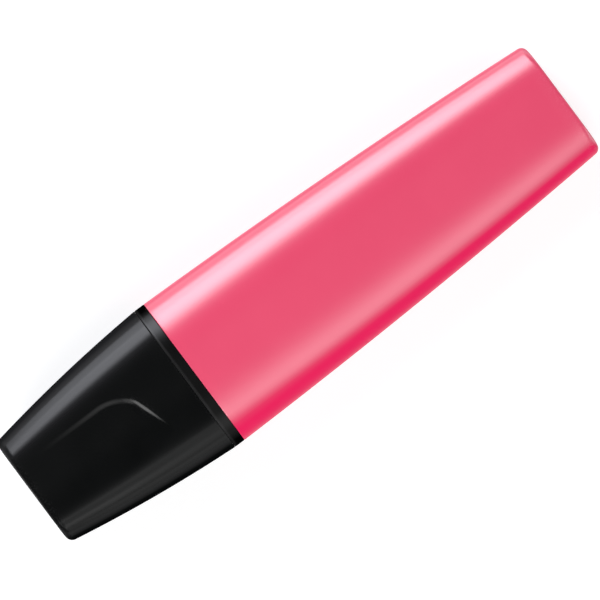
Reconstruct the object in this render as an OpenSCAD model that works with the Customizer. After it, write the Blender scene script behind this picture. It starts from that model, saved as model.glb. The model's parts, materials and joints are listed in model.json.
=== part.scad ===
// Flat highlighter pen with a pull-off cap, lying on its broad side.
// The pieces are drawn in the pen's own frame: X runs along the pen towards its rear end and is 0
// at the seam between barrel and collar, Y is across the broad face, Z is through the thickness.
// The barrel's broad faces taper, so the whole pen is then tipped until its lower face is level.

/* [Barrel] */
// Length from the collar seam to the rear end
barrel_len = 73; // [65:0.5:85]
// Width across the broad face at the seam
barrel_w = 26.9; // [26:0.1:30]
// Width across the broad face at the rear end
barrel_rear_w = 20.7; // [19:0.1:23]
// Thickness at the seam
barrel_t = 17; // [16.6:0.1:20]
// Thickness at the rear end
barrel_rear_t = 14.8; // [14.6:0.1:16]
// Share of the narrowing that is bowed, the rest is a straight taper
barrel_bow = 0.7; // [0:0.05:1]
// Width of the level strip along the middle of the broad faces
barrel_flat_w = 4; // [3:0.5:8]
// Roundness of the section at the seam, 2 is an ellipse and more is squarer
seam_power = 3; // [2.6:0.1:4]
// Roundness of the section at the rear end
rear_power = 3.7; // [3:0.1:5]
// Wall thickness of the moulded shells
wall = 1.4; // [1.2:0.05:1.5]
// Rounding of the rear edge
rear_edge_r = 1; // [0.6:0.1:2]

/* [Front section] */
// Length of the collar that shows between cap and barrel
collar_len = 1.75; // [1.2:0.05:3]
// Length of the rim that the cap's mouth slides over
rim_len = 0.92; // [0.6:0.02:1.2]
// Length of the funnel from rim to neck
funnel_len = 14.27; // [13.6:0.01:15]
// Diameter of the neck
neck_d = 7.7; // [7.4:0.1:8]
// Length of the polished neck
neck_len = 4.84; // [4:0.02:5.4]
// Length of the spigot inside the barrel
spigot_len = 8; // [6:0.5:12]

/* [Nib] */
// Diameter of the fibre nib
nib_d = 5; // [4.6:0.1:5.4]
// Reach of the nib's long corner beyond the neck
nib_reach = 6.3; // [5.4:0.1:6.6]
// Slant of the writing edge across the nib, in degrees
nib_slant = 21; // [10:1:30]
// Half of the angle between the two bevels, in degrees
nib_bevel = 40; // [30:1:50]

/* [Ink store] */
// Diameter of the fibre core
core_d = 10.8; // [9.6:0.1:10.9]
// Thickness of the film round the core
film_t = 0.2; // [0.15:0.05:0.25]

/* [Cap] */
// Length of the cap
cap_len = 30.15; // [29.6:0.05:32]
// Width of the cap's closed end
cap_end_w = 19.7; // [18.4:0.1:21]
// Thickness of the cap's closed end, between its planed faces
cap_end_t = 12.6; // [12.4:0.1:14]
// Share of the cap's narrowing that is bowed
cap_bow = 0.51; // [0:0.01:1]
// Width of the cap's planed broad faces at the mouth, where they run out below the collar
cap_face_w = 17.3; // [15:0.1:18.5]
// Width of the planed faces at the closed end
cap_face_end_w = 13.1; // [11:0.1:14]
// Rounding of the cap's end edge
cap_edge_r = 1; // [0.6:0.1:1.6]
// Greatest depth of the thumb recess
scoop_depth = 0.5; // [0.3:0.05:0.7]
// Radius of the bend in the recess's edge
scoop_r = 7; // [5:0.5:8]

/* [Hidden] */
$fn = 64;

// Steps round each quarter of a lofted section
corner_steps = 12;
// Steps along a shell, of a rounded edge and of the funnel's flare
spine_steps = 8;
edge_steps = 6;
flare_steps = 10;
// Gap that keeps two seated mouldings apart
seat_gap = 0.05;
// Gap that lets the cap slide
slide_gap = 0.1;

// Places along the pen
rim_x = -collar_len;
funnel_x = rim_x - rim_len;
neck_x = funnel_x - funnel_len;
neck_front_x = neck_x - neck_len;
nib_tip_x = neck_front_x - nib_reach;
cap_mouth_x = rim_x - slide_gap;
cap_end_x = cap_mouth_x - cap_len;
neck_r = neck_d / 2;
nib_r = nib_d / 2;

// Snap bead on the spigot and its groove in the barrel
bead_x = 3;
bead_half = 0.5;
bead_rise = 0.25;

// Sink of the barrel's broad faces, a quarter of which shows in the middle: the pen rests on their ends
barrel_sink = 0.02;

// Thickness between the planed faces at the cap's mouth, where they cut the barrel's section
cap_face_t = barrel_t * rise_at((cap_face_w - barrel_flat_w) / (barrel_w - barrel_flat_w), seam_power);

// Level strip and roundness of the cap's inside and of the rim that fits it
bore_flat_w = 10;
bore_power = 2.85;

// Spigot, rim and funnel
spigot_wall = 1.3;
spigot_lead = 0.6;
spigot_chamfer = 0.4;
funnel_wall = 1.5;
rim_half_w = barrel_w / 2 - wall - slide_gap;
rim_half_t = cap_face_t / 2 - wall - slide_gap;
rim_chamfer = 0.1;
section_floor_x = neck_x + 0.7 * funnel_len;
hollow_x = funnel_x - 0.13 * funnel_len;

// Nib holder
shank_r = 3.2;
bore_gap = 0.02;
holder_chamfer = 0.45;

// Ink store
core_r = core_d / 2;
core_front_x = 1;
core_rear_x = barrel_len - 3.5;
nib_rear_x = core_front_x + 7;
nib_taper = 2.5;
nib_rear_r = 1.2;
nib_blunt = 0.3;
rib_t = 1;
rib_gap = 0.1;
rib_y = core_r + film_t + rib_gap;
nib_room = 0.9;
stop_r = 4.2;
stop_wall = 1;

// Inner cap
seal_gap = 0.05;
seal_bore_r = neck_r + seal_gap;
seal_wall = 0.8;
seal_r = seal_bore_r + seal_wall;
seal_mouth_x = neck_x - 0.25;
seal_end_x = cap_end_x + wall + seat_gap;
seal_floor = 1;
seal_lip_r = seal_r + 0.55;
seal_lip_len = 1;
seal_lead = 0.3;
socket_len = 6.5;
socket_r = seal_r + 1.2;

// Thumb recess, measured from the cap's end and from the middle line
scoop_edge_y = 4.6;
scoop_bend_x = 16;
scoop_turn = 72;
scoop_start_x = 3.9;
scoop_tail = 5.2;
scoop_reach = 30;

// Tip of the pen that levels the barrel's lower face
tip_angle = atan((barrel_t - barrel_rear_t) / 2 / barrel_len);
rest_height = barrel_t / 2 * cos(tip_angle);
middle_x = (barrel_len + cap_end_x) / 2 * cos(tip_angle);

function mix(a, b, t) = a + (b - a) * t;
// Taper from a to b in which the share bow follows the square of t
function bowed(a, b, t, bow) = a - (a - b) * ((1 - bow) * t + bow * t * t);
// Height of an arc that leaves the neck tangentially and rises by rise over run
function arc_r(rise, run) = (run * run + rise * rise) / (2 * rise);
function arc_rise(s, rise, run) = arc_r(rise, run) - sqrt(pow(arc_r(rise, run), 2) - s * s);

// Height of a superellipse, as a share of its top, at the share u of its half width
function rise_at(u, power) = pow(1 - pow(u, power), 1 / power);

// A station is [x, half width, half thickness, half flat, power, planing angle]
function at_x(s, x) = [x, s[1], s[2], s[3], s[4], s[5]];
function inset(s, d) = [s[0], s[1] - d, s[2] - d, s[3], s[4], s[5]];

// Quarter of a section at the share q of the way from its top to its side: a level strip, then a
// superellipse down to the side, with its crown planed off up to the planing angle
function quarter(s, q) = let (a = mix(s[5], 90, q)) [
  s[3] + (s[1] - s[3]) * pow(sin(a), 2 / s[4]),
  s[2] * pow(cos(a), 2 / s[4])
];
function ring(s) = let (k = corner_steps) [
  for (i = [0:k]) let (q = quarter(s, 1 - i / k)) [s[0], q[0], q[1]],
  for (i = [0:k]) let (q = quarter(s, i / k)) [s[0], -q[0], q[1]],
  for (i = [1:k]) let (q = quarter(s, 1 - i / k)) [s[0], -q[0], -q[1]],
  for (i = [0:k - 1]) let (q = quarter(s, i / k)) [s[0], q[0], -q[1]]
];

// Closed skin through a row of stations that begins at the outside of the rear end
module loft(stations) {
  n = 4 * corner_steps + 2;
  last = len(stations) - 1;
  points = [for (s = stations) each ring(s)];
  sides = [
    for (i = [0:last - 1], j = [0:n - 1])
      let (a = i * n + j, b = i * n + (j + 1) % n)
        each [[a, b, b + n], [a, b + n, a + n]]
  ];
  first_cap = [for (j = [n - 1:-1:0]) j];
  last_cap = [for (j = [0:n - 1]) last * n + j];
  polyhedron(points, concat([first_cap], sides, [last_cap]));
}

// The same skin for a piece whose closed end points forward
module front_loft(stations) {
  mirror([1, 0, 0])
    loft([for (s = stations) at_x(s, -s[0])]);
}

// Barrel section at x, seen from outside
function barrel_at(x) = let (t = x / barrel_len) [
  x,
  bowed(barrel_w, barrel_rear_w, t, barrel_bow) / 2,
  mix(barrel_t, barrel_rear_t, t) / 2 - barrel_sink * t * (1 - t),
  barrel_flat_w / 2,
  mix(seam_power, rear_power, t),
  0
];

// Cap section at x, seen from outside: the barrel's section, planed at the cap's broad faces
function cap_half_w(t) = bowed(barrel_w, cap_end_w, t, cap_bow) / 2;
function cap_half_t(t) = mix(cap_face_t, cap_end_t, t) / 2;
function cap_at(x) =
  let (
    t = (cap_mouth_x - x) / cap_len,
    flat = mix(barrel_flat_w, barrel_flat_w / 2, t) / 2,
    u = (mix(cap_face_w, cap_face_end_w, t) / 2 - flat) / (cap_half_w(t) - flat)
  )
    [
      x,
      cap_half_w(t),
      cap_half_t(t) / rise_at(u, seam_power),
      flat,
      seam_power,
      asin(pow(u, seam_power / 2))
    ];

// Cap section at x, seen from inside
function cap_bore_at(x) = let (t = (cap_mouth_x - x) / cap_len) [
  x,
  cap_half_w(t) - wall,
  cap_half_t(t) - wall,
  mix(bore_flat_w, bore_flat_w - 2, t) / 2,
  bore_power,
  0
];

// Rim section, and the funnel's section at distance s from the neck
rim_station = [rim_x, rim_half_w, rim_half_t, bore_flat_w / 2, bore_power, 0];
function funnel_at(s) = let (t = s / funnel_len) [
  neck_x + s,
  neck_r + arc_rise(s, rim_half_w - rim_chamfer - neck_r, funnel_len),
  neck_r + arc_rise(s, rim_half_t - rim_chamfer - neck_r, funnel_len),
  bore_flat_w / 2 * t,
  mix(2, bore_power, t),
  0
];
// Distances from the neck that divide the flare into equal turns
flare_r = arc_r(rim_half_w - rim_chamfer - neck_r, funnel_len);
flare_turn = asin(funnel_len / flare_r);
flare_stops = [for (i = [0:flare_steps]) flare_r * sin(flare_turn * i / flare_steps)];

// Moves a piece from the pen's frame to the resting pen
module placed() {
  translate([-middle_x, 0, rest_height])
    rotate([0, tip_angle, 0])
      children();
}

// Turned piece along the pen: the profile's points are [radius, x]
module turned(profile) {
  rotate([0, 90, 0])
    rotate_extrude()
      polygon(profile);
}

module rod(r, x0, x1) {
  translate([x0, 0, 0])
    rotate([0, 90, 0])
      cylinder(r = r, h = x1 - x0);
}

// Level rib on both sides of the middle line, with the outline given by points
module side_ribs(points) {
  for (side = [0, 1])
    mirror([0, side, 0])
      translate([0, 0, -rib_t / 2])
        linear_extrude(rib_t)
          polygon(points);
}

// Pink shell: closed at the rear, with a snap groove in its mouth, two ribs that centre the ink
// core and a ring that stops it
module barrel_shell() {
  groove = bead_half + seat_gap;
  spine = [for (i = [0:spine_steps]) mix(barrel_len - rear_edge_r, 0, i / spine_steps)];
  edge = [
    for (i = [0:edge_steps - 1])
      let (a = 90 * i / edge_steps, x = barrel_len - rear_edge_r * (1 - cos(a)))
        inset(barrel_at(x), rear_edge_r * (1 - sin(a)))
  ];
  outside = [for (x = spine) barrel_at(x)];
  mouth = at_x(inset(barrel_at(bead_x), wall), 0);
  inside = [
    mouth,
    at_x(mouth, bead_x - groove),
    at_x(inset(mouth, -bead_rise), bead_x - groove / 2),
    at_x(inset(mouth, -bead_rise), bead_x + groove / 2),
    at_x(mouth, bead_x + groove),
    at_x(mouth, spigot_len + 1),
    for (i = [1:4])
      inset(barrel_at(mix(spigot_len + 1, barrel_len - wall, i / 4)), wall)
  ];
  loft(concat(edge, outside, inside));
}

module barrel() {
  rib_x0 = spigot_len + wall;
  rib_x1 = barrel_len - wall / 2;
  rib_outer = [
    for (i = [0:spine_steps])
      let (x = mix(rib_x1, rib_x0, i / spine_steps))
        [x, barrel_at(x)[1] - wall / 2]
  ];
  color([0.91, 0.32, 0.45])
    placed()
      union() {
        barrel_shell();
        side_ribs(concat([[rib_x0, rib_y], [rib_x1, rib_y]], rib_outer));
        turned([
          [stop_r - stop_wall, core_rear_x + rib_gap],
          [stop_r, core_rear_x + rib_gap],
          [stop_r, barrel_len - wall / 2],
          [stop_r - stop_wall, barrel_len - wall / 2]
        ]);
      }
}

// Black moulding: spigot with snap bead, collar, rim and hollow funnel
module section_shell() {
  spigot = inset(at_x(inset(barrel_at(bead_x), wall), 0), seat_gap);
  bead = inset(spigot, -(bead_rise - seat_gap));
  collar = barrel_at(0);
  hollow = inset(spigot, spigot_wall);
  outside = [
    for (s = flare_stops) funnel_at(s),
    at_x(rim_station, funnel_x + rim_chamfer),
    rim_station,
    at_x(collar, rim_x),
    collar,
    spigot,
    at_x(spigot, bead_x - bead_half),
    at_x(bead, bead_x - bead_half / 2),
    at_x(bead, bead_x + bead_half / 2),
    at_x(spigot, bead_x + bead_half),
    at_x(spigot, spigot_len - spigot_lead),
    at_x(inset(spigot, spigot_chamfer), spigot_len)
  ];
  inside = [
    at_x(hollow, spigot_len),
    at_x(hollow, rim_x),
    for (i = [0:2]) inset(funnel_at(mix(hollow_x, section_floor_x, i / 2) - neck_x), funnel_wall)
  ];
  front_loft(concat(outside, inside));
}

module front_section() {
  stop_y = nib_r + nib_room;
  stop_x = core_front_x - rib_gap;
  wall_y = rim_half_w - spigot_wall / 2;
  floor_y = funnel_at(section_floor_x - neck_x)[1] - funnel_wall / 2;
  color([0.07, 0.07, 0.075])
    placed()
      union() {
        difference() {
          section_shell();
          rod(shank_r + bore_gap, neck_x - 1, section_floor_x + 1);
        }
        side_ribs([
          [section_floor_x - rib_t, floor_y],
          [section_floor_x - rib_t, shank_r + rib_t],
          [section_floor_x + rib_t, stop_y],
          [stop_x, stop_y],
          [stop_x, rib_y],
          [spigot_len - rib_t, rib_y],
          [spigot_len - rib_t, wall_y],
          [rim_x, wall_y]
        ]);
      }
}

// Polished black sleeve that holds the nib and seals in the inner cap
module nib_holder() {
  color([0.05, 0.05, 0.055])
    placed()
      turned([
        [nib_r + bore_gap, neck_front_x],
        [neck_r - holder_chamfer, neck_front_x],
        [neck_r, neck_front_x + holder_chamfer],
        [neck_r, neck_x],
        [shank_r, neck_x],
        [shank_r, section_floor_x],
        [nib_r + bore_gap, section_floor_x]
      ]);
}

// Fibre nib: a rod with a slanted chisel tip and a tapered tail in the ink core
module nib() {
  nib_len = nib_rear_x - nib_tip_x;
  wedge_half = nib_blunt + nib_len * tan(nib_bevel);
  color([0.93, 0.3, 0.36])
    placed()
      intersection() {
        turned([
          [0, nib_tip_x],
          [nib_r, nib_tip_x],
          [nib_r, nib_rear_x - nib_taper],
          [nib_rear_r, nib_rear_x],
          [0, nib_rear_x]
        ]);
        translate([nib_tip_x, nib_r, 0])
          rotate([90, 0, nib_slant])
            translate([0, 0, -nib_len])
              linear_extrude(2 * nib_len)
                polygon([
                  [0, -nib_blunt],
                  [nib_len, -wedge_half],
                  [2 * nib_len, -wedge_half],
                  [2 * nib_len, wedge_half],
                  [nib_len, wedge_half],
                  [0, nib_blunt]
                ]);
      }
}

// Fibre core that stores the ink, with the nib's tail pushed into its front
module ink_reservoir() {
  color([0.95, 0.45, 0.58])
    placed()
      turned([
        [nib_r + seat_gap, core_front_x],
        [core_r, core_front_x],
        [core_r, core_rear_x],
        [0, core_rear_x],
        [0, nib_rear_x + seat_gap],
        [nib_rear_r + seat_gap, nib_rear_x + seat_gap],
        [nib_r + seat_gap, nib_rear_x - nib_taper]
      ]);
}

// Clear film wrapped round the core
module reservoir_film() {
  color([0.9, 0.88, 0.9, 0.5])
    placed()
      turned([
        [core_r + bore_gap, core_front_x],
        [core_r + film_t, core_front_x],
        [core_r + film_t, core_rear_x],
        [core_r + bore_gap, core_rear_x]
      ]);
}

// Outline of the thumb recess: below a straight edge, round a bend and left of a slanted edge
module scoop_outline() {
  bend_y = scoop_edge_y - scoop_r;
  turn_x = scoop_bend_x + scoop_r * sin(scoop_turn);
  turn_y = bend_y + scoop_r * cos(scoop_turn);
  end_x = turn_x + scoop_reach * cos(scoop_turn);
  end_y = turn_y - scoop_reach * sin(scoop_turn);
  union() {
    translate([scoop_bend_x, bend_y])
      circle(scoop_r);
    polygon([
      [scoop_bend_x, scoop_edge_y],
      [-scoop_reach, scoop_edge_y],
      [-scoop_reach, end_y],
      [end_x, end_y],
      [turn_x, turn_y],
      [scoop_bend_x, bend_y]
    ]);
  }
}

// Cutter for the recess: its floor hinges on the line between the two ends of the edge and is
// deepest below the bend
module scoop() {
  turn_x = scoop_bend_x + scoop_r * sin(scoop_turn);
  turn_y = scoop_edge_y - scoop_r * (1 - cos(scoop_turn));
  end_x = turn_x + scoop_tail * cos(scoop_turn);
  end_y = turn_y - scoop_tail * sin(scoop_turn);
  hinge_angle = atan2(end_y - scoop_edge_y, end_x - scoop_start_x);
  bulge = (scoop_bend_x - scoop_start_x) * sin(-hinge_angle) + scoop_r * (1 - cos(hinge_angle));
  floor_angle = atan(scoop_depth / bulge);
  face_angle = atan((cap_face_t - cap_end_t) / 2 / cap_len);
  translate([cap_end_x, 0, cap_end_t / 2])
    rotate([0, -face_angle, 0])
      intersection() {
        translate([0, 0, -2])
          linear_extrude(4)
            scoop_outline();
        translate([scoop_start_x, scoop_edge_y, 0])
          rotate([0, 0, hinge_angle])
            rotate([-floor_angle, 0, 0])
              translate([-scoop_reach, 0, 0])
                cube([2 * scoop_reach, scoop_reach, 2]);
      }
}

// Black shell of the cap: closed end, open mouth
module cap_shell() {
  edge = [
    for (i = [0:edge_steps - 1])
      let (a = 90 * i / edge_steps, x = cap_end_x + cap_edge_r * (1 - cos(a)))
        inset(cap_at(x), cap_edge_r * (1 - sin(a)))
  ];
  outside = [
    for (i = [0:spine_steps]) cap_at(mix(cap_end_x + cap_edge_r, cap_mouth_x, i / spine_steps))
  ];
  mouth = cap_bore_at(cap_mouth_x);
  land_x = funnel_x - rim_len / 2;
  inside = [
    mouth,
    at_x(mouth, land_x),
    for (i = [1:5]) cap_bore_at(mix(land_x, cap_end_x + wall, i / 5))
  ];
  front_loft(concat(edge, outside, inside));
}

module cap() {
  color([0.06, 0.07, 0.068])
    placed()
      difference() {
        union() {
          cap_shell();
          difference() {
            rod(socket_r, cap_end_x + wall / 2, cap_end_x + wall + socket_len);
            rod(seal_r + bore_gap, cap_end_x + wall, cap_end_x + wall + socket_len + 1);
          }
        }
        scoop();
        rotate([180, 0, 0])
          scoop();
      }
}

// Soft cup that closes over the neck and keeps the nib wet
module inner_cap() {
  color([0.85, 0.85, 0.83])
    placed()
      turned([
        [0, seal_end_x],
        [seal_r, seal_end_x],
        [seal_r, seal_mouth_x - seal_lip_len],
        [seal_lip_r, seal_mouth_x - seal_lip_len],
        [seal_lip_r, seal_mouth_x],
        [seal_bore_r + seal_lead, seal_mouth_x],
        [seal_bore_r, seal_mouth_x - seal_lead],
        [seal_bore_r, seal_end_x + seal_floor],
        [0, seal_end_x + seal_floor]
      ]);
}

barrel();
front_section();
nib_holder();
nib();
ink_reservoir();
reservoir_film();
cap();
inner_cap();
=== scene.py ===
"""Looks of a flat highlighter pen: pink barrel, black front section with a chisel nib, black pull-off cap.

Sizes are in millimetres in the pen's own frame, where X runs along the pen towards its rear end and is 0
at the seam between barrel and collar, Y is across the broad face and Z is through the thickness. PenLie
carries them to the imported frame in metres.
"""
import json
import logging
import math
from dataclasses import dataclass, field
from enum import Enum
from typing import Any, Optional, Union

import bmesh
import bpy
import numpy as np
from mathutils import Matrix, Vector


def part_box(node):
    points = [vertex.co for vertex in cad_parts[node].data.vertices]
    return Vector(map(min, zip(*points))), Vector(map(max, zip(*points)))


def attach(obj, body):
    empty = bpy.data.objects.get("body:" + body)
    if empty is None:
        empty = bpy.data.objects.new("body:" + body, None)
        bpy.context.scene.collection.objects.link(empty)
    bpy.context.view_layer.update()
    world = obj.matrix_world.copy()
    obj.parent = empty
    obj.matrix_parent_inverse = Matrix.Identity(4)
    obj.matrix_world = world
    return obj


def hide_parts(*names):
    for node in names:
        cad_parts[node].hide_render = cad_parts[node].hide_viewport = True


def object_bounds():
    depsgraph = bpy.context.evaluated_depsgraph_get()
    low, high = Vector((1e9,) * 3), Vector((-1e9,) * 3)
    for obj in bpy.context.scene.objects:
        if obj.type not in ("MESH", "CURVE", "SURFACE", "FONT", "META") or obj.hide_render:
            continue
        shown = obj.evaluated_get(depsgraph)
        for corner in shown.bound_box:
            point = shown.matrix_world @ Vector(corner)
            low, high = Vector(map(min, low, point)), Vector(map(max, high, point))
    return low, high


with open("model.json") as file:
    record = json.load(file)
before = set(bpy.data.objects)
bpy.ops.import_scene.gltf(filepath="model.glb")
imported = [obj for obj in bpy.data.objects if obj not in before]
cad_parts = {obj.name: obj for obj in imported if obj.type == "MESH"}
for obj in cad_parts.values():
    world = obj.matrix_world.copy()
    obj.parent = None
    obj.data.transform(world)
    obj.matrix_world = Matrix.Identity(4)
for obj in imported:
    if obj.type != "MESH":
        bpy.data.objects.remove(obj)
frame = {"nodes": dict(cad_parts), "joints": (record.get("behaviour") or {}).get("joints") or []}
CAD_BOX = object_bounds()

log = logging.getLogger("highlighter")
MM = 0.001
Number = Union[float, "Val"]
Colour = tuple[float, float, float]
Span = tuple[float, float]
Triple = tuple[float, float, float]
Array = np.ndarray
Numbers = Union[float, Array]
Piece = bpy.types.Object
Material = bpy.types.Material
WHITE = (1.0, 1.0, 1.0, 1.0)
SHARP_ANGLE = 50.0
NOISE_SPAN = (0.3, 0.7)
WELD = 1e-6
TINY = 1e-9


class Body(Enum):
    """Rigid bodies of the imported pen."""

    PEN = "pen"
    CAP = "cap"


class Ends(Enum):
    """How the first and last row of a skin are closed."""

    FAN = "fan"
    LOOP = "loop"
    PINCH = "pinch"


def linear(red: int, green: int, blue: int) -> Colour:
    """Linear colour of a screen colour, by a curve with a straight foot and then the power 2.4.

    Args:
        red, green, blue: Screen values from 0 to 255.

    Returns:
        The three linear values from 0 to 1.
    """
    screen = np.array([red, green, blue]) / 255.0
    value = np.where(screen <= 0.04045, screen / 12.92, ((screen + 0.055) / 1.055) ** 2.4)
    return tuple(float(v) for v in value)


# Shader graphs


@dataclass(frozen=True)
class Val:
    """A shader socket that takes part in Python expressions, each operator adding one Math node."""

    graph: "Graph"
    socket: Optional[bpy.types.NodeSocket]

    def _math(self, operation: str, first: Number, second: Number) -> "Val":
        """Math node on two values."""
        return self.graph.node("ShaderNodeMath", {"operation": operation}, {0: first, 1: second})

    def __add__(self, other: Number) -> "Val":
        """Sum."""
        return self._math("ADD", self, other)

    def __radd__(self, other: Number) -> "Val":
        """Sum with a number on the left."""
        return self._math("ADD", other, self)

    def __sub__(self, other: Number) -> "Val":
        """Difference."""
        return self._math("SUBTRACT", self, other)

    def __rsub__(self, other: Number) -> "Val":
        """Difference from a number on the left."""
        return self._math("SUBTRACT", other, self)

    def __mul__(self, other: Number) -> "Val":
        """Product."""
        return self._math("MULTIPLY", self, other)

    def __rmul__(self, other: Number) -> "Val":
        """Product with a number on the left."""
        return self._math("MULTIPLY", other, self)

    def __abs__(self) -> "Val":
        """Size without its sign."""
        return self._math("ABSOLUTE", self, 0.0)

    def ramp(self, low: float, high: float, shape: str = "SMOOTHSTEP") -> "Val":
        """Step from 0 at low to 1 at high.

        Args:
            low: Value that gives 0.
            high: Value that gives 1, which may be below low.
            shape: How the step runs, smooth unless LINEAR is asked for.

        Returns:
            The stepped value.
        """
        swap = low > high
        first, last = (high, low) if swap else (low, high)
        inputs = {"Value": self, "From Min": first, "From Max": last}
        inputs |= {"To Min": float(swap), "To Max": float(not swap)}
        return self.graph.node("ShaderNodeMapRange", {"interpolation_type": shape}, inputs)


class Graph:
    """Node tree of a material or a world, filled by one method."""

    def __init__(self, tree: bpy.types.NodeTree) -> None:
        """Clears the tree and keeps it."""
        self.tree = tree
        tree.nodes.clear()

    def node(
        self,
        kind: str,
        settings: Optional[dict[str, Any]] = None,
        inputs: Optional[dict[Union[str, int], Any]] = None,
        out: Union[str, int] = 0,
    ) -> Val:
        """Adds a node.

        Args:
            kind: The node's type.
            settings: Attributes that are set first.
            inputs: Values or linked values by socket name or number.
            out: Name or number of the output that is returned.

        Returns:
            The output as a value for expressions.
        """
        made = self.tree.nodes.new(kind)
        for key, value in (settings or {}).items():
            setattr(made, key, value)
        for key, value in (inputs or {}).items():
            if isinstance(value, Val):
                self.tree.links.new(value.socket, made.inputs[key])
            else:
                made.inputs[key].default_value = value
        return Val(self, made.outputs[out] if len(made.outputs) else None)

    def noise(self, vector: Val, scale: float, detail: float = 2.0, roughness: float = 0.5) -> Val:
        """Noise from 0 to 1, with its lumps per millimetre, octaves and strength of the finer octaves."""
        inputs = {"Vector": vector, "Scale": scale, "Detail": detail, "Roughness": roughness}
        return self.node("ShaderNodeTexNoise", None, inputs)

    def place(self) -> Val:
        """Place on the piece in millimetres, from its Object coordinates."""
        coords = self.node("ShaderNodeTexCoord", None, None, "Object")
        return self.node("ShaderNodeVectorMath", {"operation": "SCALE"}, {0: coords, "Scale": 1.0 / MM})

    def along(self, vector: Val, axis: Vector) -> Val:
        """Distance of a place along a unit axis, their dot product."""
        inputs = {0: vector, 1: tuple(axis)}
        return self.node("ShaderNodeVectorMath", {"operation": "DOT_PRODUCT"}, inputs, "Value")

    def stretched(self, vector: Val, scale: Triple, turn: float = 0.0) -> Val:
        """Place turned in degrees about the upright axis and stretched, for patterns with a direction."""
        inputs = {"Vector": vector, "Rotation": (0.0, 0.0, math.radians(turn)), "Scale": scale}
        return self.node("ShaderNodeMapping", None, inputs)

    def mix(self, factor: Number, first: Any, second: Any) -> Val:
        """Blend of two colours.

        Args:
            factor: 0 gives the first and 1 the second.
            first, second: Colours, or values that carry one.

        Returns:
            The blended colour.
        """
        first, second = (c if isinstance(c, Val) else (*c, 1.0) for c in (first, second))
        settings = {"data_type": "RGBA", "clamp_factor": True}
        return self.node("ShaderNodeMix", settings, {"Factor": factor, 6: first, 7: second}, 2)

    def attribute(self, name: str) -> Val:
        """Value of a piece's own vertex attribute."""
        return self.node("ShaderNodeAttribute", {"attribute_name": name}, None, "Fac")

    def bump(self, height: Val) -> Val:
        """Normal for a height in millimetres."""
        inputs = {"Strength": 1.0, "Distance": MM, "Height": height}
        return self.node("ShaderNodeBump", None, inputs, "Normal")


def new_material(name: str) -> tuple[Material, Graph]:
    """Makes an empty node material.

    Args:
        name: The material's name.

    Returns:
        The material and its graph.
    """
    material = bpy.data.materials.new(name)
    material.use_nodes = True
    return material, Graph(material.node_tree)


def shade(graph: Graph, varying: dict[str, Val], fixed: dict[str, Any]) -> None:
    """Ends a graph with its shader, from what varies over the surface and what is the same all over."""
    surface = graph.node("ShaderNodeBsdfPrincipled", None, {**fixed, **varying}, "BSDF")
    graph.node("ShaderNodeOutputMaterial", None, {"Surface": surface})


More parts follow.
